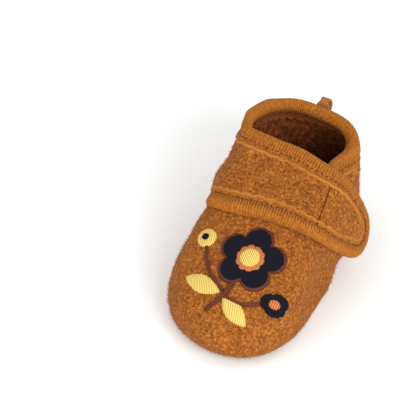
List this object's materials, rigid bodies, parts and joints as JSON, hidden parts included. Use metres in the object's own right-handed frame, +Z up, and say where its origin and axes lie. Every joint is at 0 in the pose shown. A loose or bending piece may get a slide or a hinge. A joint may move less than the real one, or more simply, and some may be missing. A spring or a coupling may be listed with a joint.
{
  "type": "first walker shoe",
  "caption": "Soft low first walker shoe of boiled wool with a round toe, rib-bound collar, instep strap that closes on the outer side and a heel pull loop; holds an infant's left foot.",
  "frame": {"origin": "on the floor under the middle of the shoe's bounding box", "axes": "+Y from toe to heel, +X to the outer side of the left foot, +Z up"},
  "size_m": [0.071, 0.1326, 0.0646],
  "materials": {
    "outsole_suede": "brown suede, napped",
    "insole_felt": "ochre wool felt, matt",
    "upper_wool": "ochre boiled wool, mottled and fuzzy",
    "strap_wool": "ochre boiled wool, mottled and fuzzy",
    "collar_rib": "ochre rib knit tape, ribs across the edge",
    "strap_rib": "ochre rib knit tape, ribs across the edge",
    "loop_tape": "ochre woven tape"
  },
  "bodies": {
    "root": {"outsole": "outsole_suede", "insole": "insole_felt", "upper": "upper_wool", "instep_strap": "strap_wool", "collar_binding": "collar_rib", "strap_binding": "strap_rib", "pull_loop": "loop_tape"}
  },
  "joints": []
}
